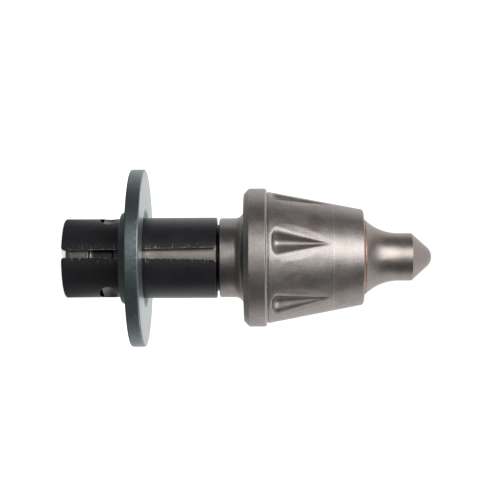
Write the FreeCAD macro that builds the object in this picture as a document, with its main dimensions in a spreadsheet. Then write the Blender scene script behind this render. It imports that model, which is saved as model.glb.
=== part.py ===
import FreeCAD, Part
import os
from math import hypot, sqrt

import Sketcher
from FreeCAD import Placement, Rotation, Vector

# Round-shank road milling pick, standing on the rear end of its clamping sleeve with the carbide
# tip up. The pick's axis is +Z and the origin is the centre of the sleeve's rear end. Millimetres.
#
# Five pieces: the forged and turned pick body, the carbide tip brazed onto it, the braze between
# them, the slotted spring sleeve that clamps the shank in its holder, and the wear plate that is
# pushed over the sleeve.

SIZES = {
    # clamping sleeve: a slotted spring tube, a little wider in front than at its rear
    "sleeve_length": 38.0,
    "sleeve_bore": 16.8,
    "sleeve_rear_dia": 19.7,
    "sleeve_flare": 0.5,
    "flare_start": 14.0,
    "flare_end": 22.0,
    "sleeve_rear_round": 0.6,
    "sleeve_front_round": 0.25,
    "slot_rear_width": 1.8,
    "slot_middle_width": 2.05,
    "slot_front_width": 3.0,
    "slot_corner": 0.9,
    "slot_turn": -6.7,
    # holding lugs: pressed inwards and sheared along their rear edge, they sit in the shank's groove
    "lug_count": 4,
    "lug_pitch": 72,
    "lug_height": 11.2,
    "lug_length": 4.6,
    "lug_width": 6.6,
    "lug_engagement": 1.0,
    "lug_spread": 0.9,
    "lug_setback": 0.5,
    "slit_length": 0.95,
    "slit_width": 5.2,
    "slit_setback": 0.1,
    # shank, inside the sleeve
    "shank_clearance": 0.1,
    "shank_recess": 0.8,
    "shank_chamfer": 1.0,
    "flange_relief": 0.05,
    "groove_clearance": 0.3,
    "groove_round": 0.6,
    "lug_play": 2.4,
    "lug_front_clearance": 0.2,
    # neck and collar, in front of the sleeve
    "sleeve_gap": 0.7,
    "neck_relief": 0.17,
    "neck_length": 6.0,
    "neck_edge": 0.25,
    "neck_fillet": 2.2,
    "collar_dia": 34.6,
    "collar_length": 5.3,
    "collar_rear_chamfer": 1.35,
    "collar_front_chamfer": 0.4,
    "step_length": 0.45,
    "step_depth": 1.0,
    # cone with its forged flutes
    "cone_setback": 0.85,
    "cone_length": 23.6,
    "cone_front_land": 2.5,
    "cone_front_round": 0.6,
    "flute_count": 6,
    "flute_rear": 0.8,
    "flute_length": 14.1,
    "flute_depth": 2.6,
    "flute_wall_angle": 43.5,
    "flute_rear_radius": 2.0,
    "flute_lip_radius": 2.4,
    "flute_lip_bite": 0.05,
    "flute_tip_scale": 0.03,
    "flute_end_round": 1.5,
    "flute_turn": -14.3,
    # seat in the cone's front face, and the braze in it
    "seat_rim": 1.8,
    "seat_slope": 2.4,
    "seat_depth": 2.0,
    "braze_gap": 0.2,
    "braze_bead": 0.5,
    # carbide tip
    "tip_base_dia": 18.8,
    "tip_land": 0.3,
    "tip_flare_height": 8.4,
    "tip_dia": 11.9,
    "tip_straight": 3.2,
    "nose_half_angle": 42,
    "nose_radius": 3.2,
    # wear plate, with the centring boss on its rear face
    "plate_height": 16.6,
    "plate_thickness": 3.5,
    "plate_dia": 44.5,
    "plate_edge": 0.4,
    "plate_clearance": 0.08,
    "plate_countersink": 2.3,
    "boss_length": 2.6,
    "boss_end_wall": 1.0,
    "boss_root_wall": 2.2,
    "boss_round": 0.6,
}

# Places and sizes that follow from the sheet, in its own expression language.
SLEEVE_RADIUS = "(size.sleeve_rear_dia / 2)"
FRONT_RADIUS = "((size.sleeve_rear_dia + size.sleeve_flare) / 2)"
BORE_RADIUS = "(size.sleeve_bore / 2)"
SHANK_RADIUS = f"({BORE_RADIUS} - size.shank_clearance)"
LUG_DEPTH = "(size.shank_clearance + size.lug_engagement)"
LUG_REACH = f"({SLEEVE_RADIUS} - {BORE_RADIUS} + {LUG_DEPTH})"
LUG_CENTRE = "(size.lug_height - size.lug_setback)"
LUG_REAR = "(size.lug_height - size.lug_length / 2)"
LUG_TURN = "(size.lug_pitch - 90)"
SLIT_REAR = f"({LUG_REAR} - size.slit_setback)"
SLIT_FRONT = f"({SLIT_REAR} + size.slit_length)"
FLANGE_RADIUS = f"({SHANK_RADIUS} - size.flange_relief)"
FLANGE_FRONT = f"({LUG_REAR} - size.lug_play)"
LUG_ARC = f"(({LUG_REACH}^2 + (size.lug_length / 2)^2) / 2 / {LUG_REACH})"
LUG_AXIS = f"({SLEEVE_RADIUS} - {LUG_REACH} + {LUG_ARC})"
LUG_FRONT = f"({LUG_CENTRE} + sqrt({LUG_ARC}^2 - ({LUG_AXIS} - {SHANK_RADIUS})^2))"
GROOVE_FRONT = f"({LUG_FRONT} + size.lug_front_clearance)"
GROOVE_RADIUS = f"({SHANK_RADIUS} - size.lug_engagement - size.groove_clearance)"
NECK_RADIUS = f"({FRONT_RADIUS} - size.neck_relief)"
NECK_REAR = "(size.sleeve_length + size.sleeve_gap)"
COLLAR_REAR = f"({NECK_REAR} + size.neck_length)"
COLLAR_FRONT = f"({COLLAR_REAR} + size.collar_length)"
CONE_REAR = f"({COLLAR_FRONT} + size.collar_front_chamfer + size.step_length)"
CONE_FRONT = f"({CONE_REAR} + size.cone_length)"
CONE_BASE_RADIUS = "(size.collar_dia / 2 - size.cone_setback)"
CONE_FRONT_RADIUS = "(size.tip_base_dia / 2 + size.cone_front_land)"
CONE_SLOPE = f"(({CONE_BASE_RADIUS} - {CONE_FRONT_RADIUS}) / size.cone_length)"
FLUTE_REAR = f"({CONE_REAR} + size.flute_rear)"
FLUTE_REAR_SURFACE = f"({CONE_BASE_RADIUS} - {CONE_SLOPE} * size.flute_rear)"
FLUTE_TIP_SURFACE = f"({FLUTE_REAR_SURFACE} - {CONE_SLOPE} * size.flute_length)"
SEAT_RADIUS = "(size.tip_base_dia / 2 - size.seat_rim)"
SEAT_FLOOR_RADIUS = f"({SEAT_RADIUS} - size.seat_slope)"
TIP_BASE = f"({CONE_FRONT} + size.braze_gap)"
FLARE_REAR = f"({TIP_BASE} + size.tip_land)"
FLARE_FRONT = f"({FLARE_REAR} + size.tip_flare_height)"
FLARE_STEP = "((size.tip_base_dia - size.tip_dia) / 2)"
FLARE_RADIUS = f"((size.tip_flare_height^2 + {FLARE_STEP}^2) / 2 / {FLARE_STEP})"
NOSE_REAR = f"({FLARE_FRONT} + size.tip_straight)"
BALL_RADIUS = "(size.nose_radius * cos(size.nose_half_angle * 1deg))"
BALL_REAR = f"({NOSE_REAR} + (size.tip_dia / 2 - {BALL_RADIUS}) / tan(size.nose_half_angle * 1deg))"
APEX = f"({BALL_REAR} + size.nose_radius * (1 - sin(size.nose_half_angle * 1deg)))"
PLATE_BORE_RADIUS = f"({FRONT_RADIUS} + size.plate_clearance)"
PLATE_FRONT = "(size.plate_height + size.plate_thickness)"
BOSS_REAR = "(size.plate_height - size.boss_length)"

# How near an edge lies to the place where it is looked for, in mm.
NEAR = 0.01


def make_sheet(document):
    """Put every driving size into the spreadsheet, with its alias."""
    sheet = document.addObject("Spreadsheet::Sheet", "size")
    for row, (alias, number) in enumerate(SIZES.items(), start=1):
        sheet.set(f"A{row}", alias.replace("_", " "))
        sheet.set(f"B{row}", str(number))
        sheet.setAlias(f"B{row}", alias)
    document.recompute()
    return sheet


def now(expression):
    """The number that an expression over the sheet gives with the sizes as they are."""
    result = sheet.evalExpression(expression)
    return float(getattr(result, "Value", result))


def make_body(label, turn=None):
    """A body of its own for one piece, turned about the pick's axis where the piece needs it."""
    body = document.addObject("PartDesign::Body", label)
    body.Label = label
    if turn:
        body.setExpression("Placement.Rotation.Angle", turn)
    return body


def origin_part(body, role):
    """One of the body's own origin planes or axes."""
    return next(item for item in body.Origin.OriginFeatures if item.Role == role)


def add_sketch(body, name, plane, offset=None, turn=None):
    """A sketch on an origin plane, moved along its normal and turned about the pick's axis."""
    sketch = body.newObject("Sketcher::SketchObject", name)
    sketch.AttachmentSupport = (origin_part(body, plane), [""])
    sketch.MapMode = "FlatFace"
    if turn:
        pick_axis = Vector(0, 0, 1) if plane == "XY_Plane" else Vector(0, 1, 0)
        sketch.AttachmentOffset = Placement(Vector(), Rotation(pick_axis, now(turn)))
        sketch.setExpression("AttachmentOffset.Rotation.Angle", turn)
    if offset:
        sketch.setExpression("AttachmentOffset.Base.z", offset)
    return sketch


def arc_between(start, end, radius):
    """An arc from start to end: its centre lies left of the way there, or right where radius < 0."""
    chord = end - start
    left = Vector(-chord.y, chord.x, 0).normalize()
    height = sqrt(max(radius**2 - hypot(chord.x, chord.y)**2 / 4, 0))
    centre = (start + end) / 2 + left * (height if radius > 0 else -height)
    first, last = (start, end) if radius > 0 else (end, start)
    return Part.Arc(first, centre + ((first + last) / 2 - centre).normalize() * abs(radius), last)


def outline(sketch, corners):
    """Draw a closed outline through corners, each held by two expressions from the origin.

    A third item makes the stretch after that corner an arc of that radius, negative where the
    centre lies to the right of the way round.
    """
    points = [Vector(now(corner[0]), now(corner[1]), 0) for corner in corners]
    ends = []
    for number, corner in enumerate(corners):
        start, end = points[number], points[(number + 1) % len(points)]
        if len(corner) == 2:
            ends.append((sketch.addGeometry(Part.LineSegment(start, end), False), 1, 2))
            continue
        radius = now(corner[2])
        arc = sketch.addGeometry(arc_between(start, end, radius), False)
        ends.append((arc, 1, 2) if radius > 0 else (arc, 2, 1))
        drive(sketch, Sketcher.Constraint("Radius", arc, abs(radius)), f"abs({corner[2]})")
    for number, (edge, first, last) in enumerate(ends):
        following = ends[(number + 1) % len(ends)]
        sketch.addConstraint(Sketcher.Constraint("Coincident", edge, last, following[0], following[1]))
        across, up = corners[number][:2]
        hold(sketch, "DistanceX", -2, (edge, first), across)
        hold(sketch, "DistanceY", -1, (edge, first), up)


def hold(sketch, kind, axis, point, expression):
    """Pin one coordinate of a point to the sheet, or the point to the axis where it is 0."""
    if expression == "0":
        sketch.addConstraint(Sketcher.Constraint("PointOnObject", *point, axis))
    else:
        drive(sketch, Sketcher.Constraint(kind, -1, 1, *point, now(expression)), expression)


def drive(sketch, constraint, expression):
    """Add a constraint whose value follows the sheet."""
    index = sketch.addConstraint(constraint)
    sketch.setExpression(f"Constraints[{index}]", expression)


def turned(body, kind, name, corners):
    """Turn a half section about the pick's axis: x is the radius and y the height."""
    section = add_sketch(body, f"{name}_section", "XZ_Plane")
    outline(section, corners)
    feature = body.newObject(f"PartDesign::{kind}", name)
    feature.Profile = section
    feature.ReferenceAxis = (section, ["V_Axis"])
    feature.Angle = 360
    document.recompute()
    return feature


def pocket(body, name, section, depth, midplane=False):
    """Cut a sketch through the piece, away from its plane or to both sides of it."""
    feature = body.newObject("PartDesign::Pocket", name)
    feature.Profile = section
    feature.Type = "Length"
    feature.Midplane = midplane
    feature.setExpression("Length", depth)
    return feature


def around(body, name, originals, count, angle):
    """Repeat features about the pick's axis."""
    pattern = body.newObject("PartDesign::PolarPattern", name)
    pattern.Originals = originals
    pattern.Axis = (origin_part(body, "Z_Axis"), [""])
    pattern.setExpression("Angle", angle)
    pattern.setExpression("Occurrences", count)
    body.Tip = pattern
    document.recompute()
    return pattern


def round_edges(body, name, base, edges, radius, kind="Fillet"):
    """Fillet or chamfer the named edges of the feature that they belong to."""
    if not edges:
        raise RuntimeError(f"{name} finds no edge")
    feature = body.newObject(f"PartDesign::{kind}", name)
    feature.Base = (base, edges)
    feature.setExpression("Radius" if kind == "Fillet" else "Size", radius)
    document.recompute()
    return feature


def edges_where(feature, test):
    """Names of the feature's edges that pass a test."""
    edges = enumerate(feature.Shape.Edges, start=1)
    return [f"Edge{number}" for number, edge in edges if not edge.Degenerated and test(edge)]


def ring_at(radius, height):
    """Test for a circle about the pick's axis, or a part of one, of this radius at this height."""
    wanted_radius, wanted_height = now(radius), now(height)

    def test(edge):
        points = edge.discretize(5)
        return all(abs(hypot(point.x, point.y) - wanted_radius) < NEAR
                   and abs(point.z - wanted_height) < NEAR for point in points)
    return test


def make_clamping_sleeve():
    """Slotted spring tube with its pressed lugs. Its slot faces -Y before the piece is turned."""
    body = make_body("clamping_sleeve", "size.slot_turn")
    outside = [
        (SLEEVE_RADIUS, "0"),
        (SLEEVE_RADIUS, "size.flare_start"),
        (FRONT_RADIUS, "size.flare_end"),
        (FRONT_RADIUS, "size.sleeve_length"),
    ]
    turned(body, "Revolution", "tube", outside + [(BORE_RADIUS, "size.sleeve_length"), (BORE_RADIUS, "0")])
    bulge = press_lug(body, "Revolution", "lug_bulge", LUG_CENTRE, LUG_REACH,
                      "(size.lug_width / 2 + size.lug_spread)")
    around(body, "lug_bulges", [bulge], "size.lug_count", "size.lug_pitch * (size.lug_count - 1)")
    beyond = f"{FRONT_RADIUS} + {LUG_REACH} * 2"
    turned(body, "Groove", "inner_trim", [
        ("0", "0"), (BORE_RADIUS, "0"), (BORE_RADIUS, SLIT_FRONT), ("0", SLIT_FRONT)])
    trim = turned(body, "Groove", "outer_trim", outside + [(beyond, "size.sleeve_length"), (beyond, "0")])
    rear = round_edges(body, "rear_edge", trim, edges_where(trim, ring_at(SLEEVE_RADIUS, "0")),
                       "size.sleeve_rear_round")
    front = ring_at(FRONT_RADIUS, "size.sleeve_length")
    round_edges(body, "front_edge", rear, edges_where(rear, front), "size.sleeve_front_round")
    dimple = press_lug(body, "Groove", "lug_dimple", "size.lug_height", LUG_DEPTH,
                       "(size.lug_width / 2)")
    slit = cut_lug_slit(body)
    around(body, "lugs", [dimple, slit], "size.lug_count", "size.lug_pitch * (size.lug_count - 1)")
    cut_slot(body)
    return body


def press_lug(body, kind, name, height, depth, half_width):
    """A lens turned about an axis that runs across the first lug, outside the sleeve's wall.

    It reaches depth into the wall at its middle and fades out at half_width to either side.
    """
    floor = f"({SLEEVE_RADIUS} - {depth})"
    along = f"(({depth}^2 + (size.lug_length / 2)^2) / 2 / {depth})"
    rise = f"(sqrt(({SLEEVE_RADIUS})^2 - {half_width}^2) - {floor})"
    across = f"(({rise}^2 + {half_width}^2) / 2 / {rise})"
    end = f"sqrt({across}^2 - ({across} - {along})^2)"
    section = add_sketch(body, f"{name}_section", "XY_Plane", offset=height, turn=LUG_TURN)
    outline(section, [(f"{floor} + {along}", end, across), (f"{floor} + {along}", f"-{end}")])
    lug = body.newObject(f"PartDesign::{kind}", name)
    lug.Profile = section
    lug.ReferenceAxis = (section, ["Edge2"])
    lug.Angle = 360
    document.recompute()
    return lug


def cut_lug_slit(body):
    """The round shear cut along the first lug's rear edge, through the wall."""
    section = add_sketch(body, "lug_slit_section", "YZ_Plane", turn=LUG_TURN)
    half = "(size.slit_width / 2)"
    outline(section, [
        (f"-{half}", SLIT_FRONT, f"({half}^2 + size.slit_length^2) / 2 / size.slit_length"),
        (half, SLIT_FRONT),
    ])
    slit = pocket(body, "lug_slit", section, f"{FRONT_RADIUS} * 2")
    slit.Reversed = True
    document.recompute()
    return slit


def cut_slot(body):
    """The slot along the whole sleeve, widening to the front, with rounded corners at both ends."""
    section = add_sketch(body, "slot_section", "XZ_Plane")
    rear = "size.slot_rear_width / 2"
    front = "size.slot_front_width / 2"
    outline(section, [
        (f"{rear} + size.slot_corner", "0", "-size.slot_corner"),
        (rear, "size.slot_corner"),
        ("size.slot_middle_width / 2", "size.flare_start"),
        (front, "size.sleeve_length - size.slot_corner", "-size.slot_corner"),
        (f"{front} + size.slot_corner", "size.sleeve_length"),
        (f"-{front} - size.slot_corner", "size.sleeve_length", "-size.slot_corner"),
        (f"-{front}", "size.sleeve_length - size.slot_corner"),
        ("-size.slot_middle_width / 2", "size.flare_start"),
        (f"-{rear}", "size.slot_corner", "-size.slot_corner"),
        (f"-{rear} - size.slot_corner", "0"),
    ])
    slot = pocket(body, "slot", section, f"{FRONT_RADIUS} * 2")
    slot.Reversed = True
    document.recompute()
    return slot


def make_pick_body():
    """Steel body in one piece: shank, neck, collar and fluted cone. A flute faces -Y as built."""
    body = make_body("pick_body", "size.flute_turn")
    collar_radius = "size.collar_dia / 2"
    collar_step = f"{collar_radius} - size.collar_rear_chamfer"
    blank = turned(body, "Revolution", "blank", [
        ("0", "size.shank_recess"),
        (f"{FLANGE_RADIUS} - size.shank_chamfer", "size.shank_recess"),
        (FLANGE_RADIUS, "size.shank_recess + size.shank_chamfer"),
        (FLANGE_RADIUS, FLANGE_FRONT),
        (GROOVE_RADIUS, FLANGE_FRONT),
        (GROOVE_RADIUS, GROOVE_FRONT),
        (SHANK_RADIUS, GROOVE_FRONT),
        (SHANK_RADIUS, NECK_REAR),
        (f"{NECK_RADIUS} - size.neck_edge", NECK_REAR),
        (NECK_RADIUS, f"{NECK_REAR} + size.neck_edge"),
        (NECK_RADIUS, COLLAR_REAR),
        (collar_step, COLLAR_REAR),
        (collar_radius, f"{COLLAR_REAR} + size.collar_rear_chamfer"),
        (collar_radius, COLLAR_FRONT),
        (f"{collar_radius} - size.collar_front_chamfer", f"{COLLAR_FRONT} + size.collar_front_chamfer"),
        (f"{collar_radius} - size.step_depth", f"{COLLAR_FRONT} + size.collar_front_chamfer"),
        (f"{collar_radius} - size.step_depth", f"{CONE_REAR} - size.step_length / 3"),
        (CONE_BASE_RADIUS, CONE_REAR),
        (CONE_FRONT_RADIUS, CONE_FRONT),
        (SEAT_RADIUS, CONE_FRONT),
        (SEAT_FLOOR_RADIUS, f"{CONE_FRONT} - size.seat_depth"),
        ("0", f"{CONE_FRONT} - size.seat_depth"),
    ])
    neck = round_edges(body, "neck_fillet", blank,
                       edges_where(blank, ring_at(NECK_RADIUS, COLLAR_REAR)),
                       "size.neck_fillet")
    groove = round_edges(body, "groove_fillets", neck,
                         edges_where(neck, ring_at(GROOVE_RADIUS, FLANGE_FRONT))
                         + edges_where(neck, ring_at(GROOVE_RADIUS, GROOVE_FRONT)),
                         "size.groove_round")
    front = round_edges(body, "cone_front_edge", groove,
                        edges_where(groove, ring_at(CONE_FRONT_RADIUS, CONE_FRONT)),
                        "size.cone_front_round")
    cut_flutes(body)
    return body


def flute_section(body, name, height, surface, scale):
    """A flute across the axis: a round floor, two walls that open outwards, and their round lips.

    The lips run out into the cone's surface, and so does everything at the flute's point.
    """
    half_angle = "(size.flute_wall_angle * 1deg)"
    floor_radius = f"(size.flute_rear_radius * {scale})"
    lip = f"(size.flute_lip_radius * {scale})"
    floor_centre = f"({surface} - size.flute_depth * {scale} + {floor_radius})"
    both = f"({floor_radius} + {lip})"
    side = f"({floor_radius} * cos({half_angle}))"
    floor_end = f"({floor_centre} - {floor_radius} * sin({half_angle}))"
    lip_reach = f"({surface} - {lip} + size.flute_lip_bite * {scale})"
    along = f"sqrt({lip_reach}^2 - ({floor_centre} * sin({half_angle}) - {both})^2)"
    wall = f"({along} - {floor_centre} * cos({half_angle}))"
    centre_x = f"({both} * cos({half_angle}) + {wall} * sin({half_angle}))"
    centre_y = f"({floor_centre} - {both} * sin({half_angle}) + {wall} * cos({half_angle}))"
    wall_x = f"({centre_x} - {lip} * cos({half_angle}))"
    wall_y = f"({centre_y} + {lip} * sin({half_angle}))"
    grow = f"(1 + {lip} / {lip_reach})"
    beyond = f"(size.flute_lip_radius / {lip_reach})"
    end_x = f"({centre_x} * {grow})"
    end_y = f"({centre_y} * {grow})"
    out_x = f"({end_x} + {centre_y} * {beyond})"
    out_y = f"({end_y} - {centre_x} * {beyond})"
    mouth = f"({CONE_BASE_RADIUS} + size.flute_rear)"
    section = add_sketch(body, name, "XY_Plane", offset=height)
    outline(section, [
        (f"-{side}", f"-{floor_end}", f"-{floor_radius}"),
        (side, f"-{floor_end}"),
        (wall_x, f"-{wall_y}", lip),
        (end_x, f"-{end_y}"),
        (out_x, f"-{out_y}"),
        (out_x, f"-{mouth}"),
        (f"-{out_x}", f"-{mouth}"),
        (f"-{out_x}", f"-{out_y}"),
        (f"-{end_x}", f"-{end_y}", lip),
        (f"-{wall_x}", f"-{wall_y}"),
    ])
    return section


def cut_flutes(body):
    """Six flutes, deepest and widest at their rear ends, that run out to a point on the cone."""
    rear = flute_section(body, "flute_rear_section", FLUTE_REAR, FLUTE_REAR_SURFACE, "1")
    front = flute_section(body, "flute_front_section", f"{FLUTE_REAR} + size.flute_length",
                          FLUTE_TIP_SURFACE, "size.flute_tip_scale")
    flute = body.newObject("PartDesign::SubtractiveLoft", "flute")
    flute.Profile = rear
    flute.Sections = [front]
    flute.Ruled = True
    document.recompute()
    flutes = around(body, "flutes", [flute], "size.flute_count", "360")
    return round_edges(body, "flute_ends", flutes, edges_where(flutes, in_flute_end), "size.flute_end_round")


def in_flute_end(edge):
    """Test for an edge of a flute's rear end that lies inside the flute."""
    box = edge.BoundBox
    at_end = abs(box.ZMin - now(FLUTE_REAR)) < NEAR and box.ZLength < NEAR
    middle = edge.valueAt((edge.FirstParameter + edge.LastParameter) / 2)
    return at_end and hypot(middle.x, middle.y) < now(FLUTE_REAR_SURFACE) - NEAR


def make_carbide_tip():
    """Sintered tip: a base that seats in the braze, a hollow flare, a straight stub and the nose."""
    body = make_body("carbide_tip")
    turned(body, "Revolution", "tip", [
        ("0", f"{TIP_BASE} - size.seat_depth"),
        (SEAT_FLOOR_RADIUS, f"{TIP_BASE} - size.seat_depth"),
        (SEAT_RADIUS, TIP_BASE),
        ("size.tip_base_dia / 2", TIP_BASE),
        ("size.tip_base_dia / 2", FLARE_REAR, f"-{FLARE_RADIUS}"),
        ("size.tip_dia / 2", FLARE_FRONT),
        ("size.tip_dia / 2", NOSE_REAR),
        (BALL_RADIUS, BALL_REAR, "size.nose_radius"),
        ("0", APEX),
    ])
    return body


def make_braze_seam():
    """Braze that fills the seat under the tip and stands as a small bead around the tip's base."""
    body = make_body("braze_seam")
    turned(body, "Revolution", "seam", [
        ("0", f"{CONE_FRONT} - size.seat_depth"),
        (SEAT_FLOOR_RADIUS, f"{CONE_FRONT} - size.seat_depth"),
        (SEAT_RADIUS, CONE_FRONT),
        ("size.tip_base_dia / 2 + size.braze_bead", CONE_FRONT, "-size.braze_bead"),
        ("size.tip_base_dia / 2", FLARE_REAR),
        ("size.tip_base_dia / 2", TIP_BASE),
        (SEAT_RADIUS, TIP_BASE),
        (SEAT_FLOOR_RADIUS, f"{TIP_BASE} - size.seat_depth"),
        ("0", f"{TIP_BASE} - size.seat_depth"),
    ])
    return body


def make_wear_plate():
    """Round plate with a centring boss behind and a countersink that clears the neck's fillet."""
    body = make_body("wear_plate")
    plate = turned(body, "Revolution", "plate", [
        (PLATE_BORE_RADIUS, BOSS_REAR),
        (f"{PLATE_BORE_RADIUS} + size.boss_end_wall", BOSS_REAR),
        (f"{PLATE_BORE_RADIUS} + size.boss_root_wall", "size.plate_height"),
        ("size.plate_dia / 2", "size.plate_height"),
        ("size.plate_dia / 2", PLATE_FRONT),
        (f"{PLATE_BORE_RADIUS} + size.plate_countersink", PLATE_FRONT),
        (PLATE_BORE_RADIUS, f"{PLATE_FRONT} - size.plate_countersink"),
    ])
    rims = (edges_where(plate, ring_at("size.plate_dia / 2", "size.plate_height"))
            + edges_where(plate, ring_at("size.plate_dia / 2", PLATE_FRONT)))
    rim = round_edges(body, "rim_edges", plate, rims, "size.plate_edge")
    boss_edge = ring_at(f"{PLATE_BORE_RADIUS} + size.boss_end_wall", BOSS_REAR)
    round_edges(body, "boss_edge", rim, edges_where(rim, boss_edge), "size.boss_round")
    return body


def check(bodies):
    """Refuse to write anything while an object has failed or a piece is not one sound solid."""
    document.recompute()
    failed = [item.Name for item in document.Objects
              if {"Invalid", "Error"} & set(item.State)]
    if failed:
        raise RuntimeError(f"failed objects: {failed}")
    for body in bodies:
        shape = body.Shape
        if shape.isNull() or not shape.isValid() or len(shape.Solids) != 1:
            raise RuntimeError(f"{body.Label} is not one valid solid")


document = FreeCAD.newDocument("road_milling_pick")
sheet = make_sheet(document)
pieces = [
    make_clamping_sleeve(),
    make_pick_body(),
    make_braze_seam(),
    make_carbide_tip(),
    make_wear_plate(),
]
check(pieces)
os.makedirs("parts", exist_ok=True)
for piece in pieces:
    piece.Shape.exportStep(f"parts/{piece.Label}.step")
    print(f"{piece.Label}: {piece.Shape.Volume:.1f} mm3")
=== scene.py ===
from math import cos, radians, sin

import bmesh
import bpy
from mathutils import Matrix, Vector


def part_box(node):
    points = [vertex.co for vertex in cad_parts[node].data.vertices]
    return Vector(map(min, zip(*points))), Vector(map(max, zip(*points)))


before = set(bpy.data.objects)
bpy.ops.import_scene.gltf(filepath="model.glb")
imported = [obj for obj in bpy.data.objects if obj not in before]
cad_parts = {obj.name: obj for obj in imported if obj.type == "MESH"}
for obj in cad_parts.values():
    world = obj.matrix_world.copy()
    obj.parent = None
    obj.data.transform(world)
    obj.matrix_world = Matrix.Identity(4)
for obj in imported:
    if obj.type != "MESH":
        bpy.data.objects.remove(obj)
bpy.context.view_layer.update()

# Looks for a road milling pick that stands on the end of its clamping sleeve, tip up. Metres.
MM = 0.001

# Lengths and angles of the pick that the finishes follow.
NECK_GAP = 0.7 * MM
NECK_LENGTH = 6.0 * MM
COLLAR_LENGTH = 6.15 * MM
FLUTED_LENGTH = 15.95 * MM
NOSE_LENGTH = 5.03 * MM
SHANK_RADIUS = 8.3 * MM
FLANGE_FRONT = 7.4 * MM
SLOT_TURN = radians(-6.7)

# Heights above the sleeve's rear end, and the plate's radius.
SLEEVE_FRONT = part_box("clamping_sleeve")[1][2]
COLLAR_REAR = SLEEVE_FRONT + NECK_GAP + NECK_LENGTH
CONE_REAR = COLLAR_REAR + COLLAR_LENGTH
DIE_LINE = CONE_REAR + FLUTED_LENGTH
NOSE_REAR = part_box("carbide_tip")[1][2] - NOSE_LENGTH
BOSS_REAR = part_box("wear_plate")[0][2]
PLATE_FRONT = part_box("wear_plate")[1][2]
PLATE_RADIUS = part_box("wear_plate")[1][0]


def colour(hex_code):
    """An sRGB hex colour as the linear one that shaders take."""
    parts = [int(hex_code[i:i + 2], 16) / 255 for i in (1, 3, 5)]
    linear = [c / 12.92 if c <= 0.04045 else ((c + 0.055) / 1.055) ** 2.4 for c in parts]
    return (*linear, 1.0)


# ---------------------------------------------------------------- materials

def add(tree, kind, inputs=None, **settings):
    """Add a node with its settings and inputs. A pair (node, output) as an input is a link."""
    node = tree.nodes.new(f"ShaderNode{kind}")
    for name, setting in settings.items():
        setattr(node, name, setting)
    for name, value in (inputs or {}).items():
        if isinstance(value, tuple) and isinstance(value[0], bpy.types.Node):
            tree.links.new(value[0].outputs[value[1]], node.inputs[name])
        else:
            node.inputs[name].default_value = value
    return node


def new_material(name):
    """An empty material's node tree."""
    material = bpy.data.materials.new(name)
    material.use_nodes = True
    material.node_tree.nodes.clear()
    return material, material.node_tree


def noise(tree, place, size, detail=2.0, rough=0.5, contrast=(0.35, 0.65)):
    """Noise of this grain size, stretched so that the contrast's two ends become 0 and 1."""
    grain = add(tree, "TexNoise", {
        "Vector": place, "Scale": 1 / size, "Detail": detail, "Roughness": rough})
    return spread(tree, (grain, "Fac"), *contrast)


def spread(tree, value, low, high, start=0.0, end=1.0):
    """Map a value from low..high to start..end, held at the ends."""
    node = add(tree, "MapRange", {
        "Value": value, "From Min": low, "From Max": high, "To Min": start, "To Max": end})
    return node, "Result"


def mathed(tree, operation, first, second=0.0, third=0.0):
    """The result of one Math node."""
    node = add(tree, "Math", {0: first, 1: second, 2: third}, operation=operation)
    return node, "Value"


def mixed(tree, factor, first, second):
    """Blend two colours by a factor."""
    node = add(tree, "Mix", {"Factor": factor, 6: first, 7: second}, data_type="RGBA")
    return node, 2


def edge_wear(tree, radius):
    """1 where a sharp edge is nearer than radius, 0 on open faces."""
    true = add(tree, "NewGeometry")
    soft = add(tree, "Bevel", {"Radius": radius}, samples=6)
    turn = add(tree, "VectorMath", {0: (soft, "Normal"), 1: (true, "Normal")},
               operation="DOT_PRODUCT")
    return spread(tree, (turn, "Value"), 0.995, 0.93)


def give(name, material):
    """Put a material on a CAD piece."""
    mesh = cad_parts[name].data
    mesh.materials.clear()
    mesh.materials.append(material)


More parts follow.
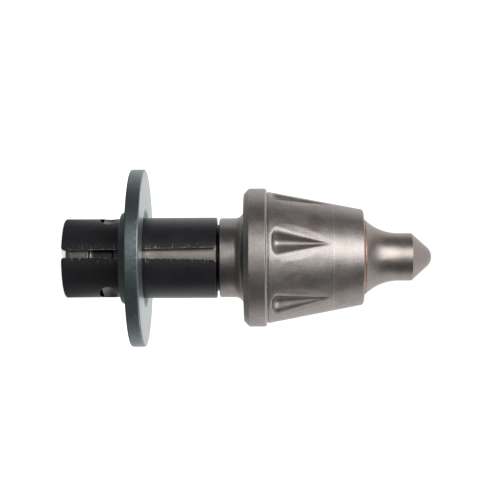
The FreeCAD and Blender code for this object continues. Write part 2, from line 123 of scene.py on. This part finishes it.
def forged_steel():
    """Forged alloy steel, shot-blasted to a fine satin sparkle, with a turned neck and shank, and
    painted shade in the lug groove and the sleeve gap.

    Warm grey with darker clouds of scale. Its flutes have soft rims from the forging die, and its
    edges are rubbed bright where picks knock together.
    """
    material, tree = new_material("shot_blasted_forged_steel")
    place = add(tree, "TexCoord"), "Object"
    parts = add(tree, "SeparateXYZ", {"Vector": place})
    height = parts, "Z"
    across = add(tree, "CombineXYZ", {"X": (parts, "X"), "Y": (parts, "Y")})
    radius = add(tree, "VectorMath", {0: (across, "Vector")}, operation="LENGTH"), "Value"
    turned = spread(tree, height, COLLAR_REAR + 0.2 * MM, COLLAR_REAR - 0.2 * MM)
    fluted = mathed(tree, "MULTIPLY", spread(tree, height, CONE_REAR, CONE_REAR + 0.3 * MM),
                    spread(tree, height, DIE_LINE + 0.15 * MM, DIE_LINE - 0.15 * MM))

    # shot-blast dents are about 0.3 mm across; the turned neck has rings 0.2 mm apart
    grit = noise(tree, place, 0.30 * MM, detail=3.0, rough=0.6)
    rings = add(tree, "Mapping", {"Vector": place, "Scale": (0.02, 0.02, 1.0)})
    rings = noise(tree, (rings, "Vector"), 0.22 * MM, detail=2.0)
    cloud = noise(tree, place, 4.5 * MM, detail=5.0, rough=0.65, contrast=(0.3, 0.7))
    scale = noise(tree, place, 7.0 * MM, detail=4.0, rough=0.7, contrast=(0.48, 0.72))
    worn = edge_wear(tree, 0.28 * MM)
    chips = noise(tree, place, 0.8 * MM, detail=3.0, rough=0.7, contrast=(0.40, 0.60))
    bright = mathed(tree, "MULTIPLY", worn, mathed(tree, "MULTIPLY_ADD", chips, 0.6, 0.2))

    tone = mixed(tree, cloud, colour("#8b8482"), colour("#a69f9b"))
    tone = mixed(tree, mathed(tree, "MULTIPLY", scale, 0.6), tone, colour("#7d706e"))
    tone = mixed(tree, mathed(tree, "MULTIPLY", grit, 0.25), tone, colour("#d0cac5"))
    line = mathed(tree, "COMPARE", height, DIE_LINE, 0.1 * MM)
    tone = mixed(tree, mathed(tree, "MULTIPLY", line, 0.25), tone, colour("#d8d2cb"))
    tone = mixed(tree, turned, tone, mixed(tree, scale, colour("#98938f"), colour("#80797a")))
    inside = spread(tree, radius, SHANK_RADIUS + 0.3 * MM, SHANK_RADIUS + 0.1 * MM)
    shank = mathed(tree, "MULTIPLY", inside, turned)
    tone = mixed(tree, shank, tone, mixed(tree, cloud, colour("#7f7a74"), colour("#9a958c")))
    tone = mixed(tree, bright, tone, colour("#e2ded9"))

    # painted shade: the lug groove and the shank behind the boss are darkened, and the gap between
    # the sleeve and the neck is filled near black
    behind_boss = spread(tree, height, BOSS_REAR + 0.3 * MM, BOSS_REAR)
    past_flange = spread(tree, height, FLANGE_FRONT, FLANGE_FRONT + 0.4 * MM)
    # painted shade on the shank between the flange and the boss
    painted_groove_shade = mathed(tree, "MULTIPLY", shank, mathed(tree, "MULTIPLY", behind_boss, past_flange))
    tone = mixed(tree, painted_groove_shade, tone, colour("#4d484b"))
    # painted shade: near black on the shank where the sleeve's end meets the neck
    painted_gap_shade = mathed(tree, "COMPARE", height, SLEEVE_FRONT + NECK_GAP / 2, 0.42 * MM)
    tone = mixed(tree, mathed(tree, "MULTIPLY", painted_gap_shade, shank), tone, colour("#1d1c1d"))

    rough = spread(tree, cloud, 0.0, 1.0, 0.39, 0.48)
    rough_turned = spread(tree, rings, 0.0, 1.0, 0.28, 0.36)
    rough = add(tree, "Mix", {"Factor": turned, 2: rough, 3: rough_turned}, data_type="FLOAT"), 0

    # soft rims round the flutes, then the dents on them, then the turned rings
    rounding = spread(tree, fluted, 0.0, 1.0, 0.15 * MM, 0.9 * MM)
    soft = add(tree, "Bevel", {"Radius": rounding}, samples=8)
    dents = add(tree, "Bump", {"Height": grit, "Distance": 0.014 * MM, "Normal": (soft, "Normal"),
                               "Strength": spread(tree, fluted, 0.0, 1.0, 0.45, 0.9)})
    lines = add(tree, "Bump", {"Height": rings, "Distance": 0.006 * MM, "Normal": (dents, "Normal"),
                               "Strength": turned})
    shader = add(tree, "BsdfPrincipled", {
        "Base Color": tone, "Metallic": 1.0, "Roughness": rough, "Normal": (lines, "Normal")})
    add(tree, "OutputMaterial", {"Surface": (shader, "BSDF")})
    return material


def sintered_carbide():
    """Sintered tungsten carbide: dense, warm grey and satin, a little lighter on the raw nose."""
    material, tree = new_material("sintered_tungsten_carbide")
    place = add(tree, "TexCoord"), "Object"
    height = add(tree, "SeparateXYZ", {"Vector": place}), "Z"
    nose = spread(tree, height, NOSE_REAR - 0.15 * MM, NOSE_REAR + 0.15 * MM)
    cloud = noise(tree, place, 3.0 * MM, detail=4.0, rough=0.65, contrast=(0.3, 0.7))
    grain = noise(tree, place, 0.25 * MM, detail=2.0)
    worn = edge_wear(tree, 0.2 * MM)
    tone = mixed(tree, cloud, colour("#8d8480"), colour("#a39a93"))
    tone = mixed(tree, nose, tone, colour("#aca39e"))
    tone = mixed(tree, mathed(tree, "MULTIPLY", grain, 0.15), tone, colour("#c4bcb6"))
    tone = mixed(tree, mathed(tree, "MULTIPLY", worn, 0.4), tone, colour("#d8d3ce"))
    rough = spread(tree, cloud, 0.0, 1.0, 0.33, 0.42)
    rough = mathed(tree, "ADD", rough, mathed(tree, "MULTIPLY", nose, 0.12))
    dents = add(tree, "Bump", {"Height": grain, "Distance": 0.004 * MM, "Strength": 0.6})
    shader = add(tree, "BsdfPrincipled", {
        "Base Color": tone, "Metallic": 1.0, "Roughness": rough, "Normal": (dents, "Normal")})
    add(tree, "OutputMaterial", {"Surface": (shader, "BSDF")})
    return material


def copper_braze():
    """Copper-zinc braze, tarnished to a dull pink: it has run and frozen, so it is a little lumpy."""
    material, tree = new_material("tarnished_copper_braze")
    place = add(tree, "TexCoord"), "Object"
    run = noise(tree, place, 1.2 * MM, detail=3.0)
    tone = mixed(tree, run, colour("#8d6a5c"), colour("#c08a74"))
    lumps = add(tree, "Bump", {"Height": run, "Distance": 0.08 * MM, "Strength": 0.7})
    shader = add(tree, "BsdfPrincipled", {
        "Base Color": tone, "Metallic": 1.0, "Roughness": 0.42, "Normal": (lumps, "Normal")})
    add(tree, "OutputMaterial", {"Surface": (shader, "BSDF")})
    return material


def black_spring_steel():
    """Rolled spring steel under black oxide and oil: near black, and bright at rubbed edges."""
    material, tree = new_material("black_oxide_spring_steel")
    place = add(tree, "TexCoord"), "Object"
    aligned = add(tree, "Mapping", {"Vector": place, "Rotation": (0, 0, -SLOT_TURN)}), "Vector"
    parts = add(tree, "SeparateXYZ", {"Vector": aligned})
    across = mathed(tree, "ABSOLUTE", (parts, "X"))
    front = spread(tree, (parts, "Y"), -7 * MM, -8 * MM)
    cloud = noise(tree, place, 4.0 * MM, detail=4.0, rough=0.6, contrast=(0.3, 0.7))
    haze = noise(tree, place, 0.5 * MM, detail=4.0, rough=0.7, contrast=(0.5, 0.75))

    # scratches run round the sleeve, 0.1 to 0.3 mm wide, thickest beside the slot
    streak = add(tree, "Mapping", {"Vector": aligned, "Scale": (0.16, 0.16, 1.0)}), "Vector"
    streak = noise(tree, streak, 0.30 * MM, detail=3.0, contrast=(0.60, 0.68))
    beside = spread(tree, across, 2.8 * MM, 1.2 * MM)
    streak = mathed(tree, "MULTIPLY", streak, mathed(tree, "MULTIPLY", beside, front))

    # the ends are rubbed bare where the sleeve is driven into its holder
    ends = mathed(tree, "MAXIMUM", spread(tree, (parts, "Z"), 1.6 * MM, 0.6 * MM),
                  spread(tree, (parts, "Z"), SLEEVE_FRONT - 1.6 * MM, SLEEVE_FRONT - 0.8 * MM))
    worn = edge_wear(tree, 0.22 * MM)
    chips = noise(tree, place, 0.8 * MM, detail=3.0, rough=0.7, contrast=(0.45, 0.60))
    chips = mathed(tree, "MAXIMUM", chips, mathed(tree, "MULTIPLY", ends, 0.7))
    bright = mathed(tree, "MAXIMUM", mathed(tree, "MULTIPLY", worn, chips),
                    mathed(tree, "MULTIPLY", streak, 0.5))

    tone = mixed(tree, cloud, colour("#1c1b20"), colour("#262529"))
    tone = mixed(tree, mathed(tree, "MULTIPLY", haze, 0.25), tone, colour("#444244"))
    oxide = add(tree, "BsdfPrincipled", {
        "Base Color": tone, "Metallic": 0.0, "Roughness": spread(tree, cloud, 0.0, 1.0, 0.29, 0.35)})
    steel = add(tree, "BsdfPrincipled", {
        "Base Color": colour("#c9c5c0"), "Metallic": 1.0, "Roughness": 0.4})
    both = add(tree, "MixShader", {0: bright, 1: (oxide, "BSDF"), 2: (steel, "BSDF")})
    add(tree, "OutputMaterial", {"Surface": (both, "Shader")})
    return material


def phosphated_plate():
    """Hardened plate under a dark blue-green phosphate coat: grainy, with rubbed bright rims."""
    material, tree = new_material("phosphated_hardened_steel")
    place = add(tree, "TexCoord"), "Object"
    parts = add(tree, "SeparateXYZ", {"Vector": place})
    across = add(tree, "CombineXYZ", {"X": (parts, "X"), "Y": (parts, "Y")})
    radius = add(tree, "VectorMath", {0: (across, "Vector")}, operation="LENGTH"), "Value"
    rim = spread(tree, radius, PLATE_RADIUS - 0.6 * MM, PLATE_RADIUS - 0.2 * MM)
    grain = noise(tree, place, 0.35 * MM, detail=4.0, rough=0.75)
    cloud = noise(tree, place, 5.0 * MM, detail=4.0, rough=0.6, contrast=(0.3, 0.7))
    flakes = noise(tree, place, 1.1 * MM, detail=4.0, rough=0.7, contrast=(0.60, 0.68))
    near_front = spread(tree, (parts, "Z"), PLATE_FRONT - 1.9 * MM, PLATE_FRONT - 0.5 * MM)
    flakes = mathed(tree, "MULTIPLY", flakes, mathed(tree, "MULTIPLY", rim, near_front))
    worn = edge_wear(tree, 0.3 * MM)
    chips = noise(tree, place, 0.9 * MM, detail=3.0, rough=0.7, contrast=(0.32, 0.56))
    bright = mathed(tree, "MULTIPLY", mathed(tree, "MULTIPLY", worn, chips),
                    spread(tree, rim, 0.0, 1.0, 0.25, 0.85))
    bright = mathed(tree, "MAXIMUM", bright, mathed(tree, "MULTIPLY", flakes, 0.6))

    # lathe rings on the faces, about 0.5 mm apart
    turned = add(tree, "CombineXYZ", {"X": radius})
    turned = noise(tree, (turned, "Vector"), 0.5 * MM, detail=3.0)
    face = mathed(tree, "SUBTRACT", 1.0, rim)

    tone = mixed(tree, cloud, colour("#5d6769"), colour("#737e80"))
    tone = mixed(tree, mathed(tree, "MULTIPLY", grain, 0.35), tone, colour("#9aa6a7"))
    at_front = spread(tree, (parts, "Z"), PLATE_FRONT - 0.3 * MM, PLATE_FRONT)
    tone = mixed(tree, mathed(tree, "MULTIPLY", face, at_front), tone, colour("#aab0b3"))
    dents = add(tree, "Bump", {"Height": grain, "Distance": 0.018 * MM,
                               "Strength": spread(tree, rim, 0.0, 1.0, 0.25, 0.7)})
    lines = add(tree, "Bump", {"Height": turned, "Distance": 0.006 * MM, "Normal": (dents, "Normal"),
                               "Strength": mathed(tree, "MULTIPLY", face, 0.6)})
    coat = add(tree, "BsdfPrincipled", {
        "Base Color": tone, "Metallic": 0.9, "Roughness": spread(tree, cloud, 0.0, 1.0, 0.30, 0.36),
        "Normal": (lines, "Normal")})
    steel = add(tree, "BsdfPrincipled", {
        "Base Color": colour("#dfe1e0"), "Metallic": 1.0, "Roughness": 0.4})
    both = add(tree, "MixShader", {0: bright, 1: (coat, "BSDF"), 2: (steel, "BSDF")})
    add(tree, "OutputMaterial", {"Surface": (both, "Shader")})
    return material


def white_table():
    """Matt white laminate that glows, bright enough to have no horizon against the white surround.

    The steel mirrors its painted glow as the surround's lower half: white behind and dim in front.
    """
    material, tree = new_material("glowing_white_laminate")
    place = add(tree, "TexCoord"), "Object"
    depth = add(tree, "SeparateXYZ", {"Vector": place}), "Y"
    shade = spread(tree, depth, -20 * MM, 120 * MM, 0.1, 0.9)
    seen = add(tree, "BsdfPrincipled", {
        "Base Color": colour("#f2f2f2"), "Roughness": 0.9,
        "Emission Color": colour("#ffffff"), "Emission Strength": 0.7})
    # painted light: reflections see only a glow, dim in front and white behind
    mirrored = add(tree, "Emission", {"Strength": shade})
    both = add(tree, "MixShader", {0: (add(tree, "LightPath"), "Is Camera Ray"),
                                   1: (mirrored, "Emission"), 2: (seen, "BSDF")})
    add(tree, "OutputMaterial", {"Surface": (both, "Shader")})
    return material


give("pick_body", forged_steel())
give("carbide_tip", sintered_carbide())
give("braze_seam", copper_braze())
give("clamping_sleeve", black_spring_steel())
give("wear_plate", phosphated_plate())


# ---------------------------------------------------------------- stage

def link(obj):
    """Put a new object into the scene."""
    bpy.context.scene.collection.objects.link(obj)
    return obj


def make_table():
    """Round table top under the sleeve's end."""
    top = bmesh.new()
    bmesh.ops.create_circle(top, cap_ends=True, segments=96, radius=2.5)
    mesh = bpy.data.meshes.new("table")
    top.to_mesh(mesh)
    top.free()
    mesh.materials.append(white_table())
    link(bpy.data.objects.new("table", mesh))


def make_surround():
    """White surround for the camera. What the steel mirrors is white behind and dim in front."""
    world = bpy.data.worlds.new("surround")
    bpy.context.scene.world = world
    world.use_nodes = True
    tree = world.node_tree
    tree.nodes.clear()
    towards = add(tree, "TexCoord"), "Generated"
    facing = add(tree, "VectorMath", {0: towards, 1: (0.22, 0.95, 0.15)}, operation="DOT_PRODUCT")
    shade = spread(tree, (facing, "Value"), -0.05, 0.35, 0.12, 1.0)
    ray = add(tree, "LightPath")
    mirrored = add(tree, "Background", {"Strength": shade})
    seen = add(tree, "Background", {"Strength": 1.1})
    for node in (mirrored, seen):
        node.inputs["Color"].default_value = (1, 1, 1, 1)
    both = add(tree, "MixShader", {0: (ray, "Is Camera Ray"), 1: (mirrored, "Background"),
                                   2: (seen, "Background")})
    add(tree, "OutputWorld", {"Surface": (both, "Shader")})


def softbox(name, towards, distance, size, power):
    """Soft light in a direction from the pick's middle, shining back at it, long side along Z."""
    middle = Vector((0, 0, 50 * MM))
    light = bpy.data.lights.new(name, "AREA")
    light.shape = "RECTANGLE"
    light.size_y, light.size = size
    light.energy = power
    box = link(bpy.data.objects.new(name, light))
    box.location = middle + Vector(towards).normalized() * distance
    box.rotation_euler = (middle - box.location).to_track_quat("-Z", "Y").to_euler()
    box.visible_camera = False


def make_camera():
    """Long lens in front of the pick, turned on its side so that the tip points right."""
    data = bpy.data.cameras.new("camera")
    data.lens = 103
    data.sensor_width = 36
    data.clip_start = 0.01
    camera = link(bpy.data.objects.new("camera", data))
    place = Vector((-1.9 * MM, -359 * MM, 51.8 * MM))
    aim = Vector((-1.9 * MM, 0, 46.2 * MM))
    lean = radians(0.28)
    ahead = (aim - place).normalized()
    right = ahead.cross(Vector((-cos(lean), 0, sin(lean)))).normalized()
    up = right.cross(ahead)
    turn = Matrix((right, up, -ahead)).transposed()
    camera.matrix_world = Matrix.Translation(place) @ turn.to_4x4()
    bpy.context.scene.camera = camera


make_table()
make_surround()
make_camera()
softbox("key", (-0.31, -0.82, 0.50), 0.6, (0.60, 0.45), 3.2)
softbox("fill", (-0.08, -1.0, -0.15), 0.6, (0.60, 0.60), 0.42)
bpy.context.scene.view_settings.view_transform = "Standard"
